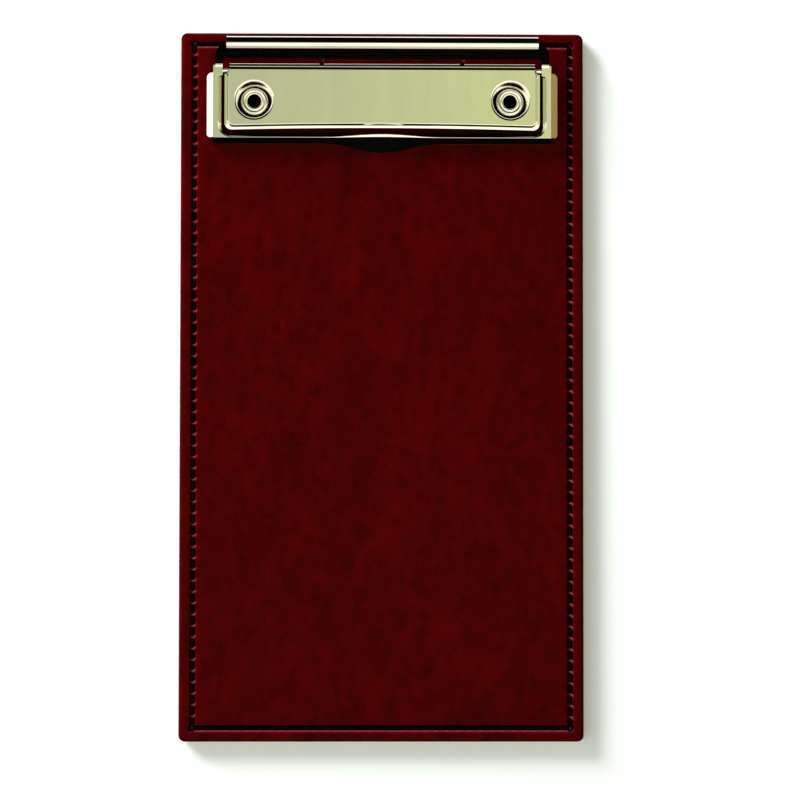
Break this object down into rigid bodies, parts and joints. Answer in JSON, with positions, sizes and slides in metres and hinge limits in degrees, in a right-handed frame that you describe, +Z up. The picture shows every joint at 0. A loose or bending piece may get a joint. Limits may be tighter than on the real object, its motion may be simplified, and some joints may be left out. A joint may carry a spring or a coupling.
{
  "type": "order pad holder",
  "caption": "Leather covered board that holds an order pad under a low spring clip, with a stitched border and a rolled press bar.",
  "frame": {"origin": "middle of the board's underside, on the surface that it lies on", "axes": "+Z up out of the writing face, +Y along the board towards the clip, +X across the board to the right"},
  "size_m": [0.115, 0.202, 0.0134],
  "materials": {
    "cover_leather": "smooth burgundy leather, soft sheen",
    "lining_leather": "smooth burgundy leather, matt",
    "thread": "dark burgundy polyester thread",
    "greyboard": "raw greyboard",
    "infill": "plain card",
    "plated_steel": "bright nickel plate, slightly warm",
    "rivet_steel": "bright nickel plate",
    "rod_steel": "drawn steel rod",
    "spring_steel": "blued and oiled spring wire"
  },
  "bodies": {
    "board": {"front_leather": "cover_leather", "back_leather": "lining_leather", "core_board": "greyboard", "infill_card": "infill", "needle_thread": "thread", "bobbin_thread": "thread", "clip_base_plate": "plated_steel", "pivot_rod": "rod_steel", "torsion_spring_left": "spring_steel", "torsion_spring_right": "spring_steel", "hollow_rivets": "rivet_steel", "rivet_washers": "rivet_steel"},
    "jaw": {"clip_jaw": "plated_steel"}
  },
  "joints": [
    {"name": "jaw_hinge", "type": "hinge", "parent": "board", "child": "jaw", "pos_m": [0, 0.0899, 0.0056], "axis": [-1, 0, 0], "range_deg": [0, 32], "stiffness_Nm_per_rad": 0.068, "springref_deg": -60.16, "deforming": ["torsion_spring_left", "torsion_spring_right"]}
  ]
}
